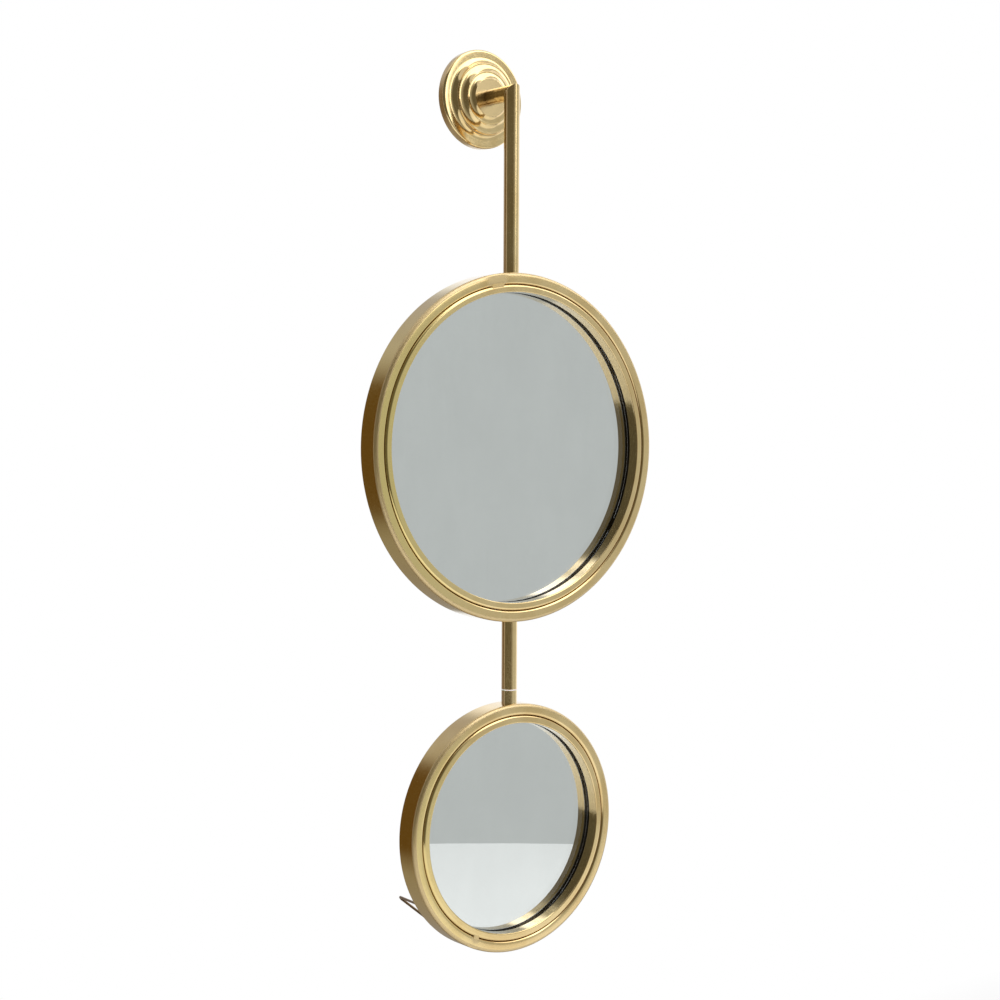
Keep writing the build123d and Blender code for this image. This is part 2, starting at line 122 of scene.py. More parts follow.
class FittingSizes(bpy.types.PropertyGroup):
    """Tubes, glass, rosette, tabs and wire."""
    tube_wall: length_of("Tube wall", "Wall of the drop tubes", 1.5)
    tube_steps: IntProperty(
        name="Steps round a tube", description="Number of faces round each tube", default=96, min=16)
    glass_arris: length_of("Glass arris", "Small bevel on the glass's edges", 0.3)
    rosette_sheet: length_of("Rosette sheet", "Sheet that the rosette is spun from", 1.5)
    rosette_rim: length_of("Rosette rim", "Round on the rosette's rim", 2.0)
    rosette_land: length_of("Rosette land", "Height of the land inside the rim", 7.0)
    rosette_flats: lengths_of("Rosette flats", "Flat before each cove, from the rim inwards", 4.4, 0.9, 0.9)
    rosette_coves: lengths_of("Rosette coves", "Width of each cove, from the rim inwards", 5.2, 6.1, 5.2)
    rosette_rises: lengths_of("Rosette rises", "Rise of each cove, from the rim inwards", 5.0, 2.8, 2.2)
    rosette_crest: length_of("Rosette crest", "Round on each crest", 0.35)
    tab_tongue: length_of("Tab tongue", "Length of a tab over the board", 11)
    tab_width: length_of("Tab width", "Width of a tab along the ring", 12)
    tab_foot: length_of("Tab foot", "Depth of a tab's foot on the ring", 4)
    tab_thickness: length_of("Tab thickness", "Sheet that the tabs are cut from", 0.8)
    tab_start: angle_of("Tab start", "Place of the first tab round the ring", 30)
    wire_radius: length_of("Wire radius", "Radius of the stop's wire", 1.05)
    wire_bend: length_of("Wire bend", "Radius of the hairpin's bend", 1.6)
    wire_spread: length_of("Wire spread", "Distance between the wire's feet", 22.0)
    wire_root_angle: angle_of("Wire root angle", "Place of the wire's feet round the small frame", 219.5)
    wire_root_inset: length_of("Wire root inset", "How far the feet's middle lies inside the frame's outline", 3.4)
    wire_tip_angle: angle_of("Wire tip angle", "Place of the wire's tip round the small frame", 216.6)
    wire_tip_inset: length_of("Wire tip inset", "How far the tip lies inside the frame's outline", 6.1)


class Finishes(bpy.types.PropertyGroup):
    """Colours of the finishes."""
    gold: colour_of("Satin brass", "Lacquered brass of the frames and tubes", 0.93, 0.71, 0.345)
    gold_deep: colour_of("Patina", "Darker brass where the patina is thicker", 0.82, 0.585, 0.245)
    gold_pale: colour_of("Worn brass", "Paler brass on rubbed edges", 1.0, 0.82, 0.50)
    # Painted reflection: a yellow-green tint mixed into the brass on the left side of the frames
    painted_left_reflection_tint: colour_of("Yellowed brass", "Brass under lacquer that has yellowed", 0.87, 0.71, 0.25)
    dressed: colour_of("Dressed brass", "Brass that was filed or rubbed", 0.76, 0.575, 0.285)
    # Painted shade: darkens the bottom of the frames' valley and the arm towards its joint with the rosette
    painted_shade: colour_of("Oxide", "Dark oxide in the valley and beside the arm's seat", 0.25, 0.13, 0.045)
    # Painted shade: darkens the inner ring's inside wall
    painted_inner_wall_shade: colour_of("Inside patina", "Dull brass inside the frames", 0.50, 0.37, 0.18)
    bare_seat: colour_of("Bare seat", "Unplated metal that the glass seats on", 0.28, 0.29, 0.31)
    wire: colour_of("Wire", "Drawn wire of the stop", 0.24, 0.14, 0.05)
    steel: colour_of("Plated steel", "Zinc plating of the plate and the screws", 0.62, 0.62, 0.60)
    bloom: colour_of("Bloom", "Faint yellow bloom on the zinc", 0.62, 0.56, 0.40)
    nylon: colour_of("White nylon", "Washer of the swivel", 0.84, 0.83, 0.80)
    glass: colour_of("Glass", "Tint of the mirror glass", 0.965, 0.988, 0.980)
    silver: colour_of("Silvering", "Silver on the back of the glass", 0.93, 0.94, 0.93)
    felt: colour_of("Felt", "Pad between the glass and the board", 0.16, 0.16, 0.155)
    hardboard: colour_of("Hardboard", "Board behind the pad", 0.33, 0.20, 0.11)


class StudioSettings(bpy.types.PropertyGroup):
    """Camera, floor, lamp and the plain surround that the metal and the glass reflect."""
    camera_place: lengths_of("Camera place", "Where the camera stands", -895.06, -1197.14, -263.18,
                             subtype="TRANSLATION")
    camera_turn: FloatVectorProperty(
        name="Camera turn", description="Azimuth, elevation and roll of the camera", size=3, unit="ROTATION",
        default=[math.radians(degrees) for degrees in (-37.523, 2.521, 0.256)])
    lens: FloatProperty(
        name="Lens", description="Focal length on a 36 mm sensor", default=64.824, min=1, unit="CAMERA")
    floor_height: length_of("Floor height", "Height of the floor below the rosette", -1100)
    surround_radius: length_of("Surround radius", "Distance of the surround", 2110)
    surround_top: length_of("Surround top", "Height of the surround's lid", 2400)
    surround_base: length_of("Surround base", "Height of the skirt's lower edge", -3000)
    dim_room: colour_of("Dim room", "Room in front of the mirror and to its left", 0.13, 0.12, 0.09)
    grey_wall: colour_of("Grey wall", "Wall in front of the mirror to its right", 0.515, 0.53, 0.525)
    pale_screen: colour_of("Pale screen", "Screen at the right-hand side", 1.0, 1.0, 1.0)
    rear_wall: colour_of("Rear wall", "Wall behind the object", 0.45, 0.43, 0.44)
    brown_board: colour_of("Brown board", "Board at the left-hand side", 0.12, 0.066, 0.015)
    window: colour_of("Window", "Bright window in the grey wall", 2.4, 2.4, 2.4, brightest=4)
    lid_shade: colour_of("Lid", "Ceiling of the surround", 0.7, 0.7, 0.7)
    skirt_shade: colour_of("Skirt", "Surround below the floor", 0.30, 0.265, 0.22)
    floor_colour: colour_of("Floor colour", "Pale paint of the floor", 0.82, 0.83, 0.83)
    fill_light: FloatProperty(
        name="Fill light", description="Light from all round on matt surfaces", default=0.95, min=0,
        subtype="FACTOR")
    key_power: FloatProperty(
        name="Key power", description="Power of the soft lamp", default=12.0, min=0, subtype="POWER")
    lamp_place: lengths_of("Lamp place", "Where the soft lamp hangs", -100, -1150, 620, subtype="TRANSLATION")
    lamp_aim: lengths_of("Lamp aim", "Point that the soft lamp faces", 0, -40, -350, subtype="TRANSLATION")
    lamp_size: lengths_of("Lamp size", "Width and height of the soft lamp", 1000, 700)


def frame_sizes():
    return bpy.context.scene.mirror_frame_sizes


def fitting_sizes():
    return bpy.context.scene.mirror_fitting_sizes


def finishes():
    return bpy.context.scene.mirror_finishes


def studio():
    return bpy.context.scene.mirror_studio


def mirror_place(mirror):
    """Radius, front and height of a mirror, from its outer ring."""
    low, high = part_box(f"{mirror}_outer_ring")
    return (high[0] - low[0]) / 2, low[1], (high[2] + low[2]) / 2


def tube_place():
    """Radius of the drop tubes and the depth of their axis."""
    low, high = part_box("lower_tube")
    return (high[0] - low[0]) / 2, (high[1] + low[1]) / 2


def in_scene(name, data):
    """New object, linked to the scene."""
    item = bpy.data.objects.new(name, data)
    bpy.context.collection.objects.link(item)
    return item


def as_piece(name, mesh, body, materials, node):
    """Turn a finished mesh into a piece that rides a body and stands for a CAD node."""
    bmesh.ops.recalc_face_normals(mesh, faces=mesh.faces)
    data = bpy.data.meshes.new(name)
    mesh.to_mesh(data)
    mesh.free()
    if not data.polygons:
        raise RuntimeError(f"{name} has no faces")
    data.shade_smooth()
    data.set_sharp_from_angle(angle=SHARP_ANGLE)
    for material in materials:
        data.materials.append(material)
    piece = in_scene(name, data)
    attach(piece, body)
    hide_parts(node)


def dress(node, material):
    """Give a CAD node a finish."""
    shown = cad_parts[node]
    for place in shown.material_slots:
        place.material = material
    if not shown.material_slots:
        shown.data.materials.append(material)


def rounded(corners, steps, hold=0.12):
    """Loop of points with each (across, up, round) corner turned into an arc and held by points beside it."""
    loop = []
    for index, (across, up, size) in enumerate(corners):
        here = Vector((across, up))
        if size <= 0:
            loop.append(here)
            continue
        back, ahead = [Vector(corners[side % len(corners)][:2]) - here for side in (index - 1, index + 1)]
        half = back.angle(ahead) / 2
        reach = size / math.tan(half)
        centre = here + (back.normalized() + ahead.normalized()).normalized() * size / math.sin(half)
        first, last = [here + side.normalized() * reach - centre for side in (back, ahead)]
        sweep = math.pi - 2 * half
        beside = hold * size
        if back.length > reach + 2 * beside:
            loop.append(centre + first + back.normalized() * beside)
        for step in range(steps + 1):
            share = step / steps
            turned = first * math.sin((1 - share) * sweep) + last * math.sin(share * sweep)
            loop.append(centre + turned / math.sin(sweep))
        if ahead.length > reach + 2 * beside:
            loop.append(centre + last + ahead.normalized() * beside)
    return loop


def skin(mesh, loops, wrap):
    """Faces between neighbouring loops of points; wrap joins the last loop to the first."""
    rows = [[mesh.verts.new(point) for point in loop] for loop in loops]
    pairs = list(zip(rows, rows[1:]))
    if wrap:
        pairs.append((rows[-1], rows[0]))
    for one, two in pairs:
        for index in range(len(one)):
            mesh.faces.new((one[index - 1], one[index], two[index], two[index - 1]))
    return rows


def caps(mesh, rows):
    """Close both ends of a skin; returns the first and the last face."""
    return mesh.faces.new(rows[0]), mesh.faces.new(list(reversed(rows[-1])))


def solid(loops, wrap=False):
    """Mesh over loops of points that wrap round, or are capped at both ends."""
    mesh = bmesh.new()
    rows = skin(mesh, loops, wrap)
    if not wrap:
        caps(mesh, rows)
    return mesh


def turns(steps, shift=0.3):
    """Angles round an axis; a shift by part of a step keeps points from lying in line on the diagonals."""
    return [FULL_TURN * (step + shift) / steps for step in range(steps)]


def round_y(r, angle, y, z):
    """Point at a radius and an angle round the Y axis at height z."""
    return (r * math.cos(angle), y, z + r * math.sin(angle))


def turned_loops(section, z, steps):
    """Copies of a (radius, y) section round the Y axis at height z."""
    return [[round_y(r, angle, y, z) for r, y in section] for angle in turns(steps)]


def disc(low, high, bevel):
    """Bevelled disc that fills a box; returns its mesh and its back face."""
    radius, z = (high[0] - low[0]) / 2, (high[2] + low[2]) / 2
    edge = [(radius - bevel, low[1]), (radius, low[1] + bevel), (radius, high[1] - bevel), (radius - bevel, high[1])]
    mesh = bmesh.new()
    loops = [[round_y(r, angle, y, z) for angle in turns(frame_sizes().steps)] for r, y in edge]
    return mesh, caps(mesh, skin(mesh, loops, False))[1]


def plug(tree, node, inputs):
    """Set a node's inputs: each socket's name or number goes with a value or another node's output."""
    for key, value in inputs.items():
        if isinstance(value, bpy.types.NodeSocket):
            tree.links.new(value, node.inputs[key])
        else:
            node.inputs[key].default_value = value


def put(tree, kind, inputs=None, **settings):
    """Add a shader node with its settings and inputs."""
    node = tree.nodes.new("ShaderNode" + kind)
    for name, value in settings.items():
        setattr(node, name, value)
    plug(tree, node, inputs or {})
    return node


def maths(tree, operation, *values):
    """Result of one sum on numbers."""
    return put(tree, "Math", dict(enumerate(values)), operation=operation).outputs[0]


def vectors(tree, operation, *values):
    """Result of one sum on vectors."""
    node = put(tree, "VectorMath", dict(enumerate(values)), operation=operation)
    return node.outputs["Value" if operation in ("LENGTH", "DISTANCE") else "Vector"]


def axis(tree, place, name):
    """One part of a place."""
    return put(tree, "SeparateXYZ", {0: place}).outputs[name]


def colour(value):
    return (*value, 1.0)


def scaled(tint, share):
    """A tint made darker."""
    return [part * share for part in tint]


def ramp(tree, factor, low, high):
    """Colour that runs between two (position, colour) stops."""
    node = put(tree, "ValToRGB", {0: factor})
    for element, (position, shade) in zip(node.color_ramp.elements, (low, high)):
        element.position = position
        element.color = colour(shade)
    return node.outputs["Color"]


def spread(tree, value, low, high, to_low, to_high):
    """Map a range of values to another range."""
    return put(tree, "MapRange", dict(enumerate((value, low, high, to_low, to_high)))).outputs["Result"]


def mix(tree, factor, one, two):
    """Mix two colours."""
    first, second = [value if isinstance(value, bpy.types.NodeSocket) else colour(value) for value in (one, two)]
    return put(tree, "Mix", {"Factor": factor, 6: first, 7: second}, data_type="RGBA").outputs[2]


def grain(tree, place, scale, detail=3.0, roughness=0.5):
    """Value of a noise texture."""
    node = put(tree, "TexNoise", {"Vector": place, "Scale": scale, "Detail": detail, "Roughness": roughness})
    return node.outputs["Fac"]


def bump(tree, height, strength, distance):
    """Normal that follows a height."""
    node = put(tree, "Bump", {"Height": height, "Strength": strength, "Distance": distance})
    return node.outputs["Normal"]


def empty_tree(owner):
    """Node tree of a material or a world, with nothing in it."""
    owner.use_nodes = True
    owner.node_tree.nodes.clear()
    return owner.node_tree


def new_material(name):
    """Empty material with a shader; returns the material, its tree, the shader and object coordinates."""
    material = bpy.data.materials.new(name)
    tree = empty_tree(material)
    shader = put(tree, "BsdfPrincipled")
    put(tree, "OutputMaterial", {"Surface": shader.outputs["BSDF"]}, target="ALL")
    place = put(tree, "TexCoord").outputs["Object"]
    return material, tree, shader, place


def made_of(name, look):
    """Material whose shader takes the inputs that a look gives."""
    material, tree, shader, place = new_material(name)
    plug(tree, shader, look(tree, place))
    return material


def stretched(tree, place, scale):
    """Coordinates stretched along the axes, for lines that run one way."""
    return put(tree, "Mapping", {"Vector": place, "Scale": scale}).outputs["Vector"]


def from_axis(tree, place, z):
    """Distance from a turned piece's axis at height z, and the parts of the place seen from there."""
    parts = put(tree, "SeparateXYZ", {0: vectors(tree, "SUBTRACT", place, (0, 0, z))}).outputs
    flat = put(tree, "CombineXYZ", {"X": parts["X"], "Z": parts["Z"]}).outputs[0]
    return vectors(tree, "LENGTH", flat), parts


def ring_lines(z):
    """Fine lines round a ring's axis."""
    def lines(tree, place):
        radius, parts = from_axis(tree, place, z)
        angle = maths(tree, "ARCTAN2", parts["Z"], parts["X"])
        place = put(tree, "CombineXYZ", {"X": radius, "Y": parts["Y"], "Z": angle}).outputs[0]
        return vectors(tree, "MULTIPLY", place, (TURNED_ACROSS, TURNED_ACROSS, TURNED_ALONG))
    return lines


def tube_lines(tree, place):
    """Drawing lines along an upright tube."""
    return stretched(tree, place, (DRAWN_ACROSS, DRAWN_ACROSS, DRAWN_ALONG))


def arm_lines(tree, place):
    """Drawing lines along the arm."""
    return stretched(tree, place, (DRAWN_ACROSS, DRAWN_ALONG, DRAWN_ACROSS))


def file_lines(tree, place):
    """Marks of a file across the braze."""
    return stretched(tree, place, (FILED_ACROSS, FILED_ACROSS, FILED_ALONG))


def near_point(point, reach):
    """Mask round a point."""
    return lambda tree, place: spread(tree, vectors(tree, "DISTANCE", place, point),
                                      0.75 * reach, 1.15 * reach, 1.0, 0.0)


def near_radius(z, radius, reach, strength=1.0):
    """Mask along a circle round a turned piece's axis."""
    def mask(tree, place):
        away = maths(tree, "SUBTRACT", from_axis(tree, place, z)[0], radius)
        return spread(tree, maths(tree, "ABSOLUTE", away), reach, 1.1 * reach, strength, 0.0)
    return mask


def behind(start, end, strength=1.0):
    """Mask that comes in between two depths."""
    return lambda tree, place: spread(tree, axis(tree, place, "Y"), start, end, 0.0, strength)


def painted_left_reflection_mask(tree, place):
    """Mask for a painted reflection tint, which grows towards the left of the object."""
    return spread(tree, axis(tree, place, "X"), -130 * MM, -30 * MM, 0.8, 0.0)


def both_masks(one, two):
    return lambda tree, place: maths(tree, "MULTIPLY", one(tree, place), two(tree, place))


def brass(name, lines, rough, gold=None, deep=None, zones=(), cloud=CLOUDS):
    """Lacquered brass: cloudy patina, fine lines, small specks, rubbed edges, and zones that mix in another finish,
    painted shade or a painted reflection tint.

    Each zone is a mask, the shade that it mixes in or None, and its roughness or None."""
    tints = finishes()
    material, tree, shader, place = new_material(name)
    clouds = grain(tree, place, cloud, 5.0, 0.6)
    tone = ramp(tree, clouds, (0.34, deep or tints.gold_deep), (0.60, gold or tints.gold))
    specks = spread(tree, grain(tree, place, SPECKS, 2.0), 0.70, 0.76, 0.0, 0.4)
    spotted = mix(tree, specks, tone, scaled(tints.gold_deep, 0.45))
    edges = put(tree, "NewGeometry").outputs["Pointiness"]
    shade = mix(tree, spread(tree, edges, 0.52, 0.60, 0.0, 0.6), spotted, tints.gold_pale)
    line = grain(tree, lines(tree, place), 1.0, 4.0, 0.6)
    relief = maths(tree, "ADD", line, grain(tree, place, MOTTLE))
    roughness = spread(tree, relief, 0.75, 1.25, *rough)
    for mask, tint, gloss in zones:
        amount = mask(tree, place)
        if tint is not None:
            shade = mix(tree, amount, shade, tint)
        if gloss is not None:
            roughness = put(tree, "Mix", {"Factor": amount, 2: roughness, 3: gloss}).outputs[0]
    plug(tree, shader, {
        "Base Color": shade, "Roughness": roughness, "Metallic": 1.0, "Coat Weight": 1.0, "Coat Roughness": 0.1,
        "Normal": bump(tree, relief, 0.04, 0.02 * MM)})
    return material


def plated_steel(tree, place):
    """Zinc plating: spangled grey with a faint yellow bloom."""
    tints = finishes()
    spangle = put(tree, "TexVoronoi", {"Vector": place, "Scale": 420.0}).outputs["Distance"]
    bloom = grain(tree, place, 70.0, 4.0)
    tone = ramp(tree, spangle, (0.0, scaled(tints.steel, 0.86)), (0.7, tints.steel))
    return {
        "Base Color": mix(tree, spread(tree, bloom, 0.5, 0.75, 0.0, 0.35), tone, tints.bloom), "Metallic": 1.0,
        "Roughness": spread(tree, bloom, 0.3, 0.7, 0.28, 0.42), "Normal": bump(tree, spangle, 0.06, 0.05 * MM)}


def white_nylon(tree, place):
    """Turned nylon with faint tool lines."""
    tint = finishes().nylon
    lines = grain(tree, stretched(tree, place, (300.0, 300.0, 5200.0)), 1.0, 2.0)
    return {
        "Base Color": ramp(tree, lines, (0.3, scaled(tint, 0.93)), (0.7, tint)),
        "Roughness": spread(tree, lines, 0.3, 0.7, 0.36, 0.5),
        "Subsurface Weight": 0.15, "Subsurface Scale": 0.4 * MM}


def clear_glass(tree, place):
    """Front and edge of the mirror glass, with a breath of haze."""
    tint = finishes().glass
    haze = grain(tree, place, 22.0, 6.0, 0.65)
    return {
        "Base Color": ramp(tree, haze, (0.35, tint), (0.75, scaled(tint, 0.985))),
        "Roughness": spread(tree, haze, 0.55, 0.85, 0.0, 0.012), "IOR": 1.52, "Transmission Weight": 1.0}


def silvering(tree, place):
    """Silver behind the glass, slightly clouded where it has aged."""
    tint = finishes().silver
    clouds = grain(tree, place, 17.0, 6.0, 0.62)
    wisps = grain(tree, stretched(tree, place, (40.0, 40.0, 14.0)), 1.0, 5.0, 0.7)
    both = maths(tree, "MULTIPLY", clouds, wisps)
    return {
        "Base Color": ramp(tree, both, (0.14, scaled(tint, 0.965)), (0.36, tint)),
        "Roughness": spread(tree, clouds, 0.4, 0.8, 0.0, 0.02), "Metallic": 1.0}


def felt(tree, place):
    """Pressed felt: short fibres in two greys."""
    tint = finishes().felt
    fibres = grain(tree, place, 900.0, 6.0, 0.7)
    return {
        "Base Color": ramp(tree, fibres, (0.3, scaled(tint, 0.6)), (0.7, tint)),
        "Roughness": 0.95, "Sheen Weight": 0.25, "Normal": bump(tree, fibres, 0.5, 0.2 * MM)}


def hardboard(tree, place):
    """Pressed fibre board: brown fibres, darker flecks and the mesh print of its back."""
    tint = finishes().hardboard
    fibres = grain(tree, stretched(tree, place, (420.0, 300.0, 260.0)), 1.0, 6.0, 0.7)
    flecks = spread(tree, grain(tree, place, 700.0), 0.62, 0.70, 0.0, 0.7)
    tone = ramp(tree, fibres, (0.32, scaled(tint, 0.72)), (0.66, tint))
    weave = [put(tree, "TexWave", {"Vector": place, "Scale": 190.0}, bands_direction=way).outputs["Fac"]
             for way in ("X", "Z")]
    height = maths(tree, "ADD", maths(tree, "MULTIPLY", *weave), fibres)
    return {
        "Base Color": mix(tree, flecks, tone, scaled(tint, 0.45)), "Roughness": 0.72,
        "Normal": bump(tree, height, 0.35, 0.12 * MM)}


def outer_section(sizes, radius, front, back, crown, edge):
    """Section of a frame's outer ring, with a crowned face and a round on its outer edge."""
    inside = radius - sizes.outer_width
    half = sizes.outer_width / 2
    corners = [(inside, front + crown, sizes.valley_round)]
    for share in (0.3, 0.37, 0.44, 0.51, 0.58, 0.64):
        r = inside + share * sizes.outer_width
        corners.append((r, front + crown * ((r - inside - half) / half) ** 2, 0))
    corners += [(radius, front + crown, edge), (radius, back, sizes.back_edge), (inside, back, sizes.back_edge)]
    return rounded(corners, EDGE_STEPS)


def inner_section(sizes, radius, front, seat):
    """Section of a frame's inner ring, which the glass seats on."""
    bar_out = radius - sizes.outer_width - sizes.braze_gap
    bar_in = bar_out - sizes.inner_width
    end = seat - BACKING_GAP
    return rounded([
        (bar_in, front, sizes.inner_edge), (bar_out, front, sizes.valley_round), (bar_out, end, SEAT_EDGES[0]),
        (bar_in, end, SEAT_EDGES[1])], EDGE_STEPS)


def seam_of(sizes, mirror):
    """Angle and width of a frame's seam."""
    return getattr(sizes, f"{mirror}_seam_angle"), getattr(sizes, f"{mirror}_seam_width")


def outer_loops(sizes, mirror, back):
    """Sections round an outer ring: the crown is filed flat and the edge built up beside the seam."""
    radius, front, z = mirror_place(mirror)
    middle, width = seam_of(sizes, mirror)
    filed_crown, blend_start, blend = 0.4, 0.9, 0.4
    plain = outer_section(sizes, radius, front, back, sizes.face_crown, sizes.outer_edge)
    filed = outer_section(sizes, radius, front, back, filed_crown * sizes.face_crown, sizes.seam_edge)
    loops = []
    for angle in turns(sizes.steps):
        away = abs((angle - middle + math.pi) % FULL_TURN - math.pi) / (width / radius)
        share = min(1.0, max(0.0, (blend_start - away) / blend))
        share = share * share * (3 - 2 * share)
        points = [one.lerp(two, share) for one, two in zip(plain, filed)]
        loops.append([round_y(r, angle, y, z) for r, y in points])
    return loops


class MIRROR_OT_frames(bpy.types.Operator):
    """Build the outer and inner rings of both frames"""
    bl_idname = "wall_mirror.frames"
    bl_label = "Mirror Frames"

    def execute(self, context):
        sizes = frame_sizes()
        for mirror, body in MIRRORS.items():
            radius, front, z = mirror_place(mirror)
            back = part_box(f"{mirror}_outer_ring")[1][1]
            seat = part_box(f"{mirror}_mirror_glass")[0][1]
            outer, inner = self.ring_finishes(sizes, mirror, seat)
            as_piece(f"{mirror}_frame_outer", solid(outer_loops(sizes, mirror, back), True), body,
                     [outer], f"{mirror}_outer_ring")
            loops = turned_loops(inner_section(sizes, radius, front, seat), z, sizes.steps)
            as_piece(f"{mirror}_frame_inner", solid(loops, True), body,
                     [inner], f"{mirror}_inner_ring")
        return {"FINISHED"}

    def ring_finishes(self, sizes, mirror, seat):
        """Brass of an outer and an inner ring, with painted shade in the valley and on the inner wall, a painted
        reflection tint on the left, and dressed metal beside the seam.
        """
        tints = finishes()
        radius, front, z = mirror_place(mirror)
        angle, width = seam_of(sizes, mirror)
        valley, size, edge = radius - sizes.outer_width, sizes.valley_round, sizes.outer_edge
        in_valley = near_radius(z, valley, size)
        # Painted shade darkens the valley towards its bottom
        painted_valley_shade = both_masks(in_valley, behind(front + 0.25 * size, front + 0.7 * size, 0.85))
        rubbed = both_masks(near_radius(z, radius, 0.9 * edge), behind(front + edge, front + 0.8 * edge))
        beside_seam = near_point(round_y(valley, angle, front, z), 0.72 * width)
        # Painted shade darkens the inner ring's inside wall
        inside = near_radius(z, valley - sizes.inner_width, 0.25 * MM, 0.6)
        at_seat = behind(seat - 0.5 * MM, seat - 0.3 * MM)
        # Both rings share painted shade in the valley and a painted reflection tint on the left
        shared = [(painted_left_reflection_mask, tints.painted_left_reflection_tint, None), (in_valley, None, 0.12), (painted_valley_shade, tints.painted_shade, 0.3)]
        outer = brass(f"satin_brass_{mirror}_outer", ring_lines(z), (0.13, 0.20), zones=shared + [
            (rubbed, tints.dressed, 0.44), (beside_seam, tints.dressed, 0.4)])
        inner = brass(f"satin_brass_{mirror}_inner", ring_lines(z), (0.11, 0.19), zones=shared + [
            (inside, tints.painted_inner_wall_shade, None), (at_seat, tints.bare_seat, 0.12)])
        return outer, inner


class MIRROR_OT_seams(bpy.types.Operator):
    """Build the braze that fills the valley at each frame's seam"""
    bl_idname = "wall_mirror.seams"
    bl_label = "Frame Seams"

    def execute(self, context):
        finish = brass("dressed_braze", file_lines, (0.30, 0.46), gold=finishes().dressed)
        for mirror, body in MIRRORS.items():
            as_piece(f"{mirror}_seam", self.seam_mesh(frame_sizes(), mirror), body, [finish],
                     f"{mirror}_seam_bridge")
        return {"FINISHED"}

    def seam_mesh(self, sizes, mirror):
        """Braze in the valley: filed flush between both rings, with ends that run down into the valley."""
        radius, front, z = mirror_place(mirror)
        angle, width = seam_of(sizes, mirror)
        valley, size = radius - sizes.outer_width, sizes.valley_round
        along, across = 48, 18
        off_rings, thickness, wander, dents, run_down = 0.06 * MM, 0.15 * MM, 0.5 * MM, 0.03 * MM, 0.8
        loops = []
        for row in range(along + 1):
            part = 2 * row / along - 1
            high, low = [], []
            for column in range(across + 1):
                away = (2 * column / across - 1) * size
                r = valley + away
                floor = size - math.sqrt(max(0.0, size ** 2 - (size - abs(away)) ** 2)) + off_rings
                ragged = wander * noise.noise(Vector((r * 700, part * 3, z)))
                turn = angle + part * (width / 2 + ragged) / radius
                end = max(0.0, (abs(part) - run_down) / (1 - run_down))
                flush = sizes.seam_sunk + dents * noise.noise(Vector((r * 400, part * 6, 3.0)))
                depth = min(flush + size * (1 - math.sqrt(max(0.0, 1 - end * end))), floor)
                high.append(round_y(r, turn, front + depth, z))
                low.append(round_y(r, turn, front + floor + thickness, z))
            loops.append(high + list(reversed(low)))
        mesh = bmesh.new()
        rows = skin(mesh, loops, False)
        for row in (rows[0], list(reversed(rows[-1]))):
            for column in range(across):
                mesh.faces.new((row[column], row[column + 1], row[-2 - column], row[-1 - column]))
        return mesh


class MIRROR_OT_glass(bpy.types.Operator):
    """Build the two mirror glasses, silvered on the back"""
    bl_idname = "wall_mirror.glass"
    bl_label = "Mirror Glass"

    def execute(self, context):
        materials = [made_of("clear_glass", clear_glass), made_of("silvered_back", silvering)]
        for mirror, body in MIRRORS.items():
            low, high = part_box(f"{mirror}_mirror_glass")
            mesh, back = disc(low, (high[0], high[1] - BACKING_GAP, high[2]), fitting_sizes().glass_arris)
            back.material_index = 1
            as_piece(f"{mirror}_glass", mesh, body, materials, f"{mirror}_mirror_glass")
        return {"FINISHED"}


class MIRROR_OT_backs(bpy.types.Operator):
    """Build the boards and the bent tabs behind each glass, and dress the pads"""
    bl_idname = "wall_mirror.backs"
    bl_label = "Mirror Backs"

    def execute(self, context):
        sizes = fitting_sizes()
        board_finish = made_of("hardboard", hardboard)
        pad_finish = made_of("grey_felt", felt)
        tab_finish = brass("rolled_brass_tabs", tube_lines, (0.24, 0.36))
        for mirror, body in MIRRORS.items():
            low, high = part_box(f"{mirror}_backing_board")
            mesh = disc(low, high, BOARD_BEVEL)[0]
            as_piece(f"{mirror}_board", mesh, body, [board_finish], f"{mirror}_backing_board")
            dress(f"{mirror}_backing_pad", pad_finish)
            wall = mirror_place(mirror)[0] - frame_sizes().outer_width
            section = self.tab_section(sizes, wall, high[1])
            mesh = bmesh.new()
            for number in range(TABS[mirror]):
                middle = sizes.tab_start + FULL_TURN * (number / TABS[mirror])
                self.add_tab(mesh, section, (high[2] + low[2]) / 2, wall, sizes, middle)
            as_piece(f"{mirror}_tabs", mesh, body, [tab_finish], f"{mirror}_retaining_tabs")
        return {"FINISHED"}

    def tab_section(self, sizes, wall, board):
        """Bent strip: a foot on the ring's wall, a bend, and a tongue over the board."""
        thick, tip, foot = sizes.tab_thickness, wall - sizes.tab_tongue, board - sizes.tab_foot
        foot_edge, bend, tip_edge = 0.15 * MM, 0.7 * MM, 0.25 * MM
        return rounded([
            (wall, foot, foot_edge), (wall, board + thick, bend), (tip, board + thick, tip_edge),
            (tip, board, tip_edge), (wall - thick, board, 0), (wall - thick, foot, foot_edge)], 5)

    def add_tab(self, mesh, section, z, wall, sizes, middle):
        """One tab, with the corners of its tongue rounded off."""
        half, corner, across = sizes.tab_width / 2, TAB_CORNER, 12
        tip = wall - sizes.tab_tongue
        loops = []
        for step in range(across + 1):
            part = 2 * step / across - 1
            loop = []
            for r, y in section:
                short = max(0.0, corner - (r - tip))
                inset = corner - math.sqrt(max(0.0, corner ** 2 - short ** 2))
                loop.append(round_y(r, middle + part * (half - inset) / wall, y, z))
            loops.append(loop)
        caps(mesh, skin(mesh, loops, False))


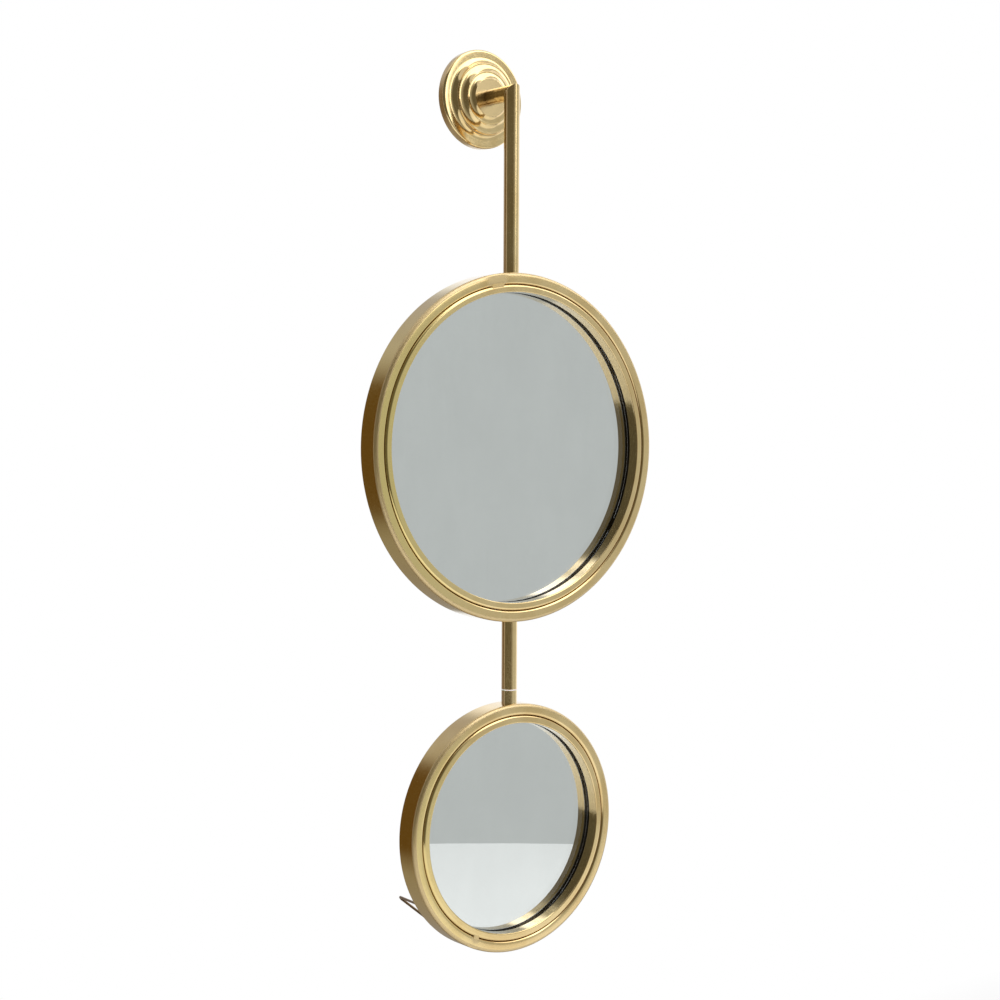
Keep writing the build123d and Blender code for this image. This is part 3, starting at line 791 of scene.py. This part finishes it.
class MIRROR_OT_tubes(bpy.types.Operator):
    """Build the arm, the upper tube and the lower tube"""
    bl_idname = "wall_mirror.tubes"
    bl_label = "Drop Tubes"

    def execute(self, context):
        axis_y = tube_place()[1]
        large_r, _, large_z = mirror_place("large")
        arm_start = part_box("arm_tube")[1][1]
        tube_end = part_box("lower_tube")[0][2]
        # Painted shade darkens the arm over this reach towards its joint with the rosette
        painted_shade_reach = 14 * MM
        upright = brass("satin_brass_tubes", tube_lines, (0.13, 0.24))
        arm = brass("satin_brass_arm", arm_lines, (0.13, 0.24), zones=[
            (behind(arm_start - painted_shade_reach, arm_start, 0.8), finishes().painted_shade, None)])

        def arm_point(angle, r, end, shift):
            x, z = r * math.cos(angle), r * math.sin(angle)
            return (x, (arm_start if end == "wall" else axis_y - z) - shift, z)

        def drop_point(angle, r, end, shift):
            x, y = r * math.cos(angle), r * math.sin(angle)
            rise = math.sqrt(large_r ** 2 - x ** 2)
            top = {"mitre": -y, "above": large_z + rise, "below": large_z - rise, "swivel": tube_end}[end]
            return (x, axis_y + y, top + shift)

        for name, point, start, end, finish, node in (
                ("arm", arm_point, "wall", "mitre", arm, "arm_tube"),
                ("upper_drop", drop_point, "above", "mitre", upright, "upper_tube"),
                ("lower_drop", drop_point, "swivel", "below", upright, "lower_tube")):
            as_piece(name, self.pipe(point, start, end), "hanger", [finish], node)
        return {"FINISHED"}

    def pipe(self, point, start, end):
        """Tube with eased ends; point gives a place from an angle, a radius, an end and a distance from that end."""
        sizes, radius, ease = fitting_sizes(), tube_place()[0], TUBE_EASE
        bore = radius - sizes.tube_wall
        outline = ((radius - ease, start, 0), (radius, start, ease), (radius, start, 4 * ease),
                   (radius, end, -4 * ease), (radius, end, -ease), (radius - ease, end, 0),
                   (bore, end, 0), (bore, start, 0))
        return solid([[point(angle, *place) for angle in turns(sizes.tube_steps, 0)] for place in outline], True)


class MIRROR_OT_rosette(bpy.types.Operator):
    """Build the stepped wall rosette"""
    bl_idname = "wall_mirror.rosette"
    bl_label = "Wall Rosette"

    def execute(self, context):
        tints = finishes()
        low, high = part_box("rosette")
        plateau, rim_wall = 15 * MM, near_radius(0.0, high[0], 0.3 * MM)
        satin = both_masks(near_radius(0.0, 0.0, plateau), behind(low[1] + 0.2 * MM, low[1] + 0.1 * MM))
        finish = brass("polished_brass", ring_lines(0.0), (0.09, 0.17), cloud=FINE_CLOUDS, zones=[
            (satin, tints.dressed, 0.2), (rim_wall, None, 0.36)])
        mesh = solid(turned_loops(self.section(fitting_sizes(), high[0]), 0.0, ROSETTE_STEPS), True)
        as_piece("rosette_cover", mesh, "wall_fixing", [finish], "rosette")
        return {"FINISHED"}

    def section(self, sizes, rim):
        """Both faces of the spun sheet, from the rim on the wall to the hole under the arm."""
        bore, hole_edge, rim_steps, cove_steps = self.bore(), 0.1 * MM, 10, 14
        start, level = rim - sizes.rosette_rim, sizes.rosette_land
        face = [(rim, 0.0, 0), (rim, level - 1.2 * sizes.rosette_rim, 0)]
        for step in range(rim_steps + 1):
            turn = math.pi / 2 * step / rim_steps
            face.append((start + sizes.rosette_rim * math.cos(turn),
                         level - sizes.rosette_rim * (1 - math.sin(turn)), 0))
        for flat, width, rise in zip(sizes.rosette_flats, sizes.rosette_coves, sizes.rosette_rises):
            foot = start - flat
            size = (width ** 2 + rise ** 2) / (2 * rise)
            sweep = 2 * math.atan(rise / width)
            face.append((foot + 0.25 * flat, level, 0))
            for step in range(cove_steps):
                turn = sweep * step / cove_steps
                face.append((foot - size * math.sin(turn), level + size * (1 - math.cos(turn)), 0))
            start, level = foot - width, level + rise
            face.append((start, level, sizes.rosette_crest))
        hole = [(bore + 6 * hole_edge, level, 0), (bore + hole_edge, level, 0), (bore, level - hole_edge, 0)]
        sheet = sizes.rosette_sheet
        under = [(max(bore, r - sheet), max(0.0, h - sheet), 0) for r, h, _ in face] + [(bore, level - sheet, 0)]
        return [(r, -h) for r, h in rounded(face + hole + list(reversed(under)), 4)]

    def bore(self):
        """Radius of the rosette's hole: that of the node's point nearest to its axis."""
        return min(math.hypot(point.co.x, point.co.z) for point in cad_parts["rosette"].data.vertices)


class MIRROR_OT_fixings(bpy.types.Operator):
    """Build the screws with their drives, and dress the wall plate, the spigot and the plugs"""
    bl_idname = "wall_mirror.fixings"
    bl_label = "Wall Fixings"

    def execute(self, context):
        steel = made_of("zinc_plated_steel", plated_steel)
        turned = brass("turned_brass", tube_lines, (0.16, 0.28))
        dress("wall_plate", steel)
        for node in ("wall_spigot", "upper_tube_plug", "lower_tube_plug", "swivel_bush"):
            dress(node, turned)
        low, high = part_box("spigot_screw")
        radius, shank = (high[0] - low[0]) / 2, SPIGOT_SHANK
        section = [(radius - 0.1 * MM, 0.0), (radius, 0.12 * MM), (shank, radius - shank), (shank, high[1] - low[1])]
        mesh = self.screw(section, Vector((0, high[1], 0)), Vector((0, -1, 0)), *SPIGOT_SOCKET)
        as_piece("spigot_screw_socket_head", mesh, "wall_fixing", [steel], "spigot_screw")
        low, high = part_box("arm_grub_screw")
        radius, ease = (high[0] - low[0]) / 2, 0.15 * MM
        section = [(radius - ease, 0.0), (radius, ease), (radius, GRUB_THREAD), (GRUB_POINT, GRUB_THREAD),
                   (GRUB_POINT, high[2] - low[2])]
        middle = Vector((0, (low[1] + high[1]) / 2, low[2]))
        mesh = self.screw(section, middle, Vector((0, 0, 1)), *GRUB_SOCKET)
        as_piece("arm_grub_socket", mesh, "hanger", [steel], "arm_grub_screw")
        return {"FINISHED"}

    def screw(self, section, middle, along, socket, depth):
        """Screw turned from a section of (radius, distance), with a hexagon socket in its head."""
        across = Vector((1, 0, 0))
        third = along.cross(across)

        def ring(reach, distance):
            return [middle + along * distance + across * (reach(a) * math.cos(a)) + third * (reach(a) * math.sin(a))
                    for a in turns(SCREW_STEPS, 0)]

        def hexagon(a):
            sector = math.pi / 3
            return socket * math.cos(sector / 2) / math.cos(a % sector - sector / 2)

        loops = [ring(hexagon, depth), ring(hexagon, 0.0)]
        loops += [ring(lambda a, r=r: r, distance) for r, distance in section]
        return solid(loops)


class MIRROR_OT_swivel(bpy.types.Operator):
    """Build the swivel's washer and stub, and dress its screw"""
    bl_idname = "wall_mirror.swivel"
    bl_label = "Swivel"

    def execute(self, context):
        radius = tube_place()[0]
        small_r, _, small_z = mirror_place("small")
        finish = brass("satin_brass_stub", tube_lines, (0.13, 0.24))
        dress("swivel_screw", made_of("swivel_screw_steel", plated_steel))
        low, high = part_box("swivel_washer")
        base, top, bore, ease = low[2], high[2], WASHER_BORE, WASHER_EASE
        section = ((radius - ease, base), (radius, base + ease), (radius, top - ease), (radius - ease, top),
                   (bore, top), (bore, base))
        mesh = solid([self.ring(r, lambda x, z=z: z) for r, z in section], True)
        nylon = made_of("white_nylon", white_nylon)
        as_piece("washer", mesh, "small_mirror", [nylon], "swivel_washer")
        top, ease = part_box("small_stub")[1][2], STUB_EASE
        section = ((radius, top - 5 * ease), (radius, top - ease), (radius - ease, top), (STUB_BORE, top))
        loops = [self.ring(radius, lambda x: small_z + math.sqrt(small_r ** 2 - x ** 2))]
        loops += [self.ring(r, lambda x, z=z: z) for r, z in section]
        as_piece("stub", solid(loops), "small_mirror", [finish], "small_stub")
        return {"FINISHED"}

    def ring(self, r, height):
        """Circle of points round the swivel's axis, at a height that may depend on x."""
        axis_y, angles = tube_place()[1], turns(fitting_sizes().tube_steps, 0)
        return [(r * math.cos(a), axis_y + r * math.sin(a), height(r * math.cos(a))) for a in angles]


class MIRROR_OT_wire_stop(bpy.types.Operator):
    """Build the hairpin of wire between the small frame and the wall"""
    bl_idname = "wall_mirror.wire_stop"
    bl_label = "Wire Stop"

    def execute(self, context):
        sizes, drawn = fitting_sizes(), finishes().wire
        radius, _, z = mirror_place("small")
        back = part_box("small_outer_ring")[1][1]
        tip_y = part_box("wire_stop")[1][1] - sizes.wire_radius
        finish = brass("drawn_wire", tube_lines, (0.16, 0.30), gold=drawn, deep=scaled(drawn, 0.7))
        root_angle = sizes.wire_root_angle
        root = Vector(round_y(radius - sizes.wire_root_inset, root_angle, back, z))
        tip = Vector(round_y(radius - sizes.wire_tip_inset, sizes.wire_tip_angle, tip_y, z))
        across = Vector((-math.sin(root_angle), 0, math.cos(root_angle)))
        lean = (tip - root).dot(across)
        outward = (tip - root - across * lean).normalized()
        path = self.hairpin(sizes, lean, (tip - root).dot(outward))
        points = [root + across * u + outward * v for u, v in path]
        loops = self.wrap(points, across.cross(outward), sizes.wire_radius)
        for loop in (loops[0], loops[-1]):
            loop[:] = [Vector((point.x, back, point.z)) for point in loop]
        as_piece("wire_hairpin", solid(loops), "small_mirror", [finish], "wire_stop")
        return {"FINISHED"}

    def hairpin(self, sizes, lean, length):
        """Middle line of the wire in its own plane: up one leg, round the bend and down the other."""
        bend = Vector((lean, length - sizes.wire_bend))
        feet = [Vector((side * sizes.wire_spread / 2, 0)) for side in (-1, 1)]
        touch, bend_steps = [], 16
        for foot, turn in zip(feet, (-1, 1)):
            reach = foot - bend
            touch.append(math.atan2(reach.y, reach.x) + turn * math.acos(sizes.wire_bend / reach.length))
        first, last = touch
        while first < last:
            first += FULL_TURN
        arc = [first + (last - first) * step / bend_steps for step in range(bend_steps + 1)]
        round_bend = [bend + Vector((math.cos(a), math.sin(a))) * sizes.wire_bend for a in arc]
        up = [feet[0].lerp(round_bend[0], share) for share in (0, 0.05, 0.5, 0.9)]
        down = [feet[1].lerp(round_bend[-1], share) for share in (0.9, 0.5, 0.05, 0)]
        return up + round_bend + down

    def wrap(self, points, normal, radius):
        """Circles of points along a plane path."""
        loops = []
        for index, point in enumerate(points):
            ahead = points[min(index + 1, len(points) - 1)] - points[max(index - 1, 0)]
            side = ahead.normalized().cross(normal)
            loops.append([point + side * (radius * math.cos(a)) + normal * (radius * math.sin(a))
                          for a in turns(WIRE_STEPS, 0)])
        return loops


class MIRROR_OT_stage(bpy.types.Operator):
    """Set up the camera, the floor, the surround and the light"""
    bl_idname = "wall_mirror.stage"
    bl_label = "Studio Stage"

    # Panels of the surround: the shade's setting; middle, half width and soft edge in degrees to the right of the
    # front; bottom, top and soft edge in metres. Each lies over those before it.
    PANELS = (
        ("grey_wall", 90, 85, 17, -1.2, 2.6, 0.1),
        ("pale_screen", 117, 40, 8, -1.2, 2.6, 0.1),
        ("rear_wall", -154, 46, 6, -1.2, 2.6, 0.1),
        ("lid_shade", 0, 181, 1, 2.35, 2.6, 0.05),
        ("skirt_shade", 0, 181, 1, -3.2, -1.25, 0.1),
        ("brown_board", -141, 15.5, 6, -1.5, 0.9, 0.3),
        ("window", 47, 28, 3, 0.72, 1.3, 0.1),
        ("window", 32, 28, 3, 1.25, 2.6, 0.1),
        ("window", 29, 4, 1.5, 0.12, 0.8, 0.1))

    def execute(self, context):
        settings = studio()
        context.scene.view_settings.view_transform = "Standard"
        self.add_camera(context.scene, settings)
        self.add_floor(settings)
        self.add_surround(settings)
        self.add_light(settings)
        self.set_world(context.scene, settings)
        return {"FINISHED"}

    def add_camera(self, scene, settings):
        """Camera at its place, turned by azimuth, elevation and roll."""
        azimuth, elevation, roll = settings.camera_turn
        turn = (Matrix.Rotation(azimuth, 4, "Z") @ Matrix.Rotation(math.pi / 2 - elevation, 4, "X")
                @ Matrix.Rotation(roll, 4, "Z"))
        data = bpy.data.cameras.new("photo_camera")
        data.lens = settings.lens
        data.sensor_width = SENSOR_WIDTH
        data.clip_start = 50 * MM
        camera = in_scene("photo_camera", data)
        camera.matrix_world = Matrix.Translation(settings.camera_place) @ turn
        scene.camera = camera

    def add_floor(self, settings):
        """Floor in front of the wall with painted shade beside the wall, and one behind it that turns white for the
        camera and that no mirror sees.
        """
        material, tree, shader, place = new_material("pale_floor")
        paint = settings.floor_colour
        pale = ramp(tree, grain(tree, place, 3.0, 4.0), (0.3, scaled(paint, 0.98)), (0.7, paint))
        depth = axis(tree, place, "Y")
        # Painted shade: the floor is darkened next to the wall plane
        beside = spread(tree, maths(tree, "ABSOLUTE", depth), *FLOOR_SHADING, 0.45, 0.0)
        plug(tree, shader, {"Base Color": mix(tree, beside, pale, scaled(paint, 0.4)), "Roughness": 0.7})
        ray = put(tree, "LightPath").outputs["Is Camera Ray"]
        fade = maths(tree, "MULTIPLY", ray, spread(tree, depth, 0.0, FLOOR_FADE, 0.0, 1.0))
        white = put(tree, "Emission", {"Color": (1, 1, 1, 1), "Strength": 1.0})
        both = put(tree, "MixShader", {0: fade, 1: shader.outputs[0], 2: white.outputs[0]})
        plug(tree, tree.nodes["Material Output"], {"Surface": both.outputs[0]})
        reach, level = settings.surround_radius, settings.floor_height
        for name, edge in (("floor", -reach), ("floor_behind", reach)):
            data = bpy.data.meshes.new(name)
            data.from_pydata([(-reach, edge, level), (reach, edge, level), (reach, 0.0, level), (-reach, 0.0, level)],
                             [], [(0, 1, 2, 3)])
            data.materials.append(material)
            floor = in_scene(name, data)
            floor.visible_glossy = floor.visible_transmission = name == "floor"

    def add_surround(self, settings):
        """Plain room that only reflections see, made of a few soft-edged panels."""
        material = bpy.data.materials.new("grey_surround")
        tree = empty_tree(material)
        place = put(tree, "TexCoord").outputs["Object"]
        parts = put(tree, "SeparateXYZ", {0: place}).outputs
        angle = maths(tree, "ARCTAN2", parts["X"], maths(tree, "MULTIPLY", parts["Y"], -1.0))
        shade = settings.dim_room
        for name, middle, half, soft, bottom, top, fade in self.PANELS:
            turn = maths(tree, "WRAP", maths(tree, "SUBTRACT", angle, math.radians(middle)), math.pi, -math.pi)
            across = spread(tree, maths(tree, "ABSOLUTE", turn), math.radians(half - soft), math.radians(half + soft),
                            1.0, 0.0)
            over = spread(tree, parts["Z"], bottom - fade, bottom + fade, 0.0, 1.0)
            below = spread(tree, parts["Z"], top - fade, top + fade, 1.0, 0.0)
            inside = maths(tree, "MULTIPLY", across, maths(tree, "MULTIPLY", over, below))
            shade = mix(tree, inside, shade, getattr(settings, name))
        glow = put(tree, "Emission", {"Color": shade, "Strength": 1.0})
        put(tree, "OutputMaterial", {"Surface": glow.outputs[0]})
        radius = settings.surround_radius
        mesh = solid([[(radius * math.cos(a), radius * math.sin(a), z) for a in turns(SURROUND_STEPS, 0)]
                      for z in (settings.surround_base, settings.floor_height, settings.surround_top)])
        data = bpy.data.meshes.new("surround")
        mesh.to_mesh(data)
        mesh.free()
        data.materials.append(material)
        screen = in_scene("surround", data)
        screen.visible_camera = screen.visible_diffuse = screen.visible_shadow = False

    def add_light(self, settings):
        """Soft lamp in front of the mirror, which no mirror shows."""
        data = bpy.data.lights.new("soft_lamp", "AREA")
        data.shape = "RECTANGLE"
        data.size, data.size_y = settings.lamp_size
        data.energy = settings.key_power
        lamp = in_scene("soft_lamp", data)
        lamp.visible_glossy = lamp.visible_transmission = False
        lamp.location = settings.lamp_place
        aim = Vector(settings.lamp_aim) - lamp.location
        lamp.rotation_euler = aim.to_track_quat("-Z", "Y").to_euler()

    def set_world(self, scene, settings):
        """White behind the object for the camera, metal and glass; a plain fill for matt surfaces."""
        world = bpy.data.worlds.new("white_studio")
        tree = empty_tree(world)
        path = put(tree, "LightPath").outputs
        sharp = maths(tree, "MAXIMUM", path["Is Camera Ray"], path["Is Glossy Ray"])
        clear = maths(tree, "MAXIMUM", sharp, path["Is Transmission Ray"])
        fill, white = [put(tree, "Background", {"Color": (1, 1, 1, 1), "Strength": strength}).outputs[0]
                       for strength in (settings.fill_light, 1.0)]
        both = put(tree, "MixShader", {0: clear, 1: fill, 2: white})
        put(tree, "OutputWorld", {"Surface": both.outputs[0]})
        scene.world = world


class MIRROR_PT_panel(bpy.types.Panel):
    """Pieces of the mirror and their sizes"""
    bl_idname = "MIRROR_PT_panel"
    bl_label = "Double Round Mirror"
    bl_space_type = "VIEW_3D"
    bl_region_type = "UI"
    bl_category = "Wall Mirror"

    def draw(self, context):
        layout = self.layout
        for operator in OPERATORS:
            layout.operator(operator.bl_idname)
        for group in (frame_sizes(), fitting_sizes(), finishes(), studio()):
            box = layout.box()
            for name in group.bl_rna.properties.keys():
                if name not in ("rna_type", "name"):
                    box.prop(group, name)


GROUPS = {"mirror_frame_sizes": FrameSizes, "mirror_fitting_sizes": FittingSizes,
          "mirror_finishes": Finishes, "mirror_studio": StudioSettings}
OPERATORS = (MIRROR_OT_frames, MIRROR_OT_seams, MIRROR_OT_glass, MIRROR_OT_backs, MIRROR_OT_tubes,
             MIRROR_OT_rosette, MIRROR_OT_fixings, MIRROR_OT_swivel, MIRROR_OT_wire_stop, MIRROR_OT_stage)


def register():
    for name, group in GROUPS.items():
        bpy.utils.register_class(group)
        setattr(bpy.types.Scene, name, PointerProperty(type=group))
    for operator in OPERATORS:
        bpy.utils.register_class(operator)
    bpy.utils.register_class(MIRROR_PT_panel)


def unregister():
    bpy.utils.unregister_class(MIRROR_PT_panel)
    for operator in reversed(OPERATORS):
        bpy.utils.unregister_class(operator)
    for name, group in reversed(GROUPS.items()):
        delattr(bpy.types.Scene, name)
        bpy.utils.unregister_class(group)


def main():
    register()
    bpy.ops.wall_mirror.frames()
    bpy.ops.wall_mirror.seams()
    bpy.ops.wall_mirror.glass()
    bpy.ops.wall_mirror.backs()
    bpy.ops.wall_mirror.tubes()
    bpy.ops.wall_mirror.rosette()
    bpy.ops.wall_mirror.fixings()
    bpy.ops.wall_mirror.swivel()
    bpy.ops.wall_mirror.wire_stop()
    bpy.ops.wall_mirror.stage()


if __name__ == "__main__":
    main()
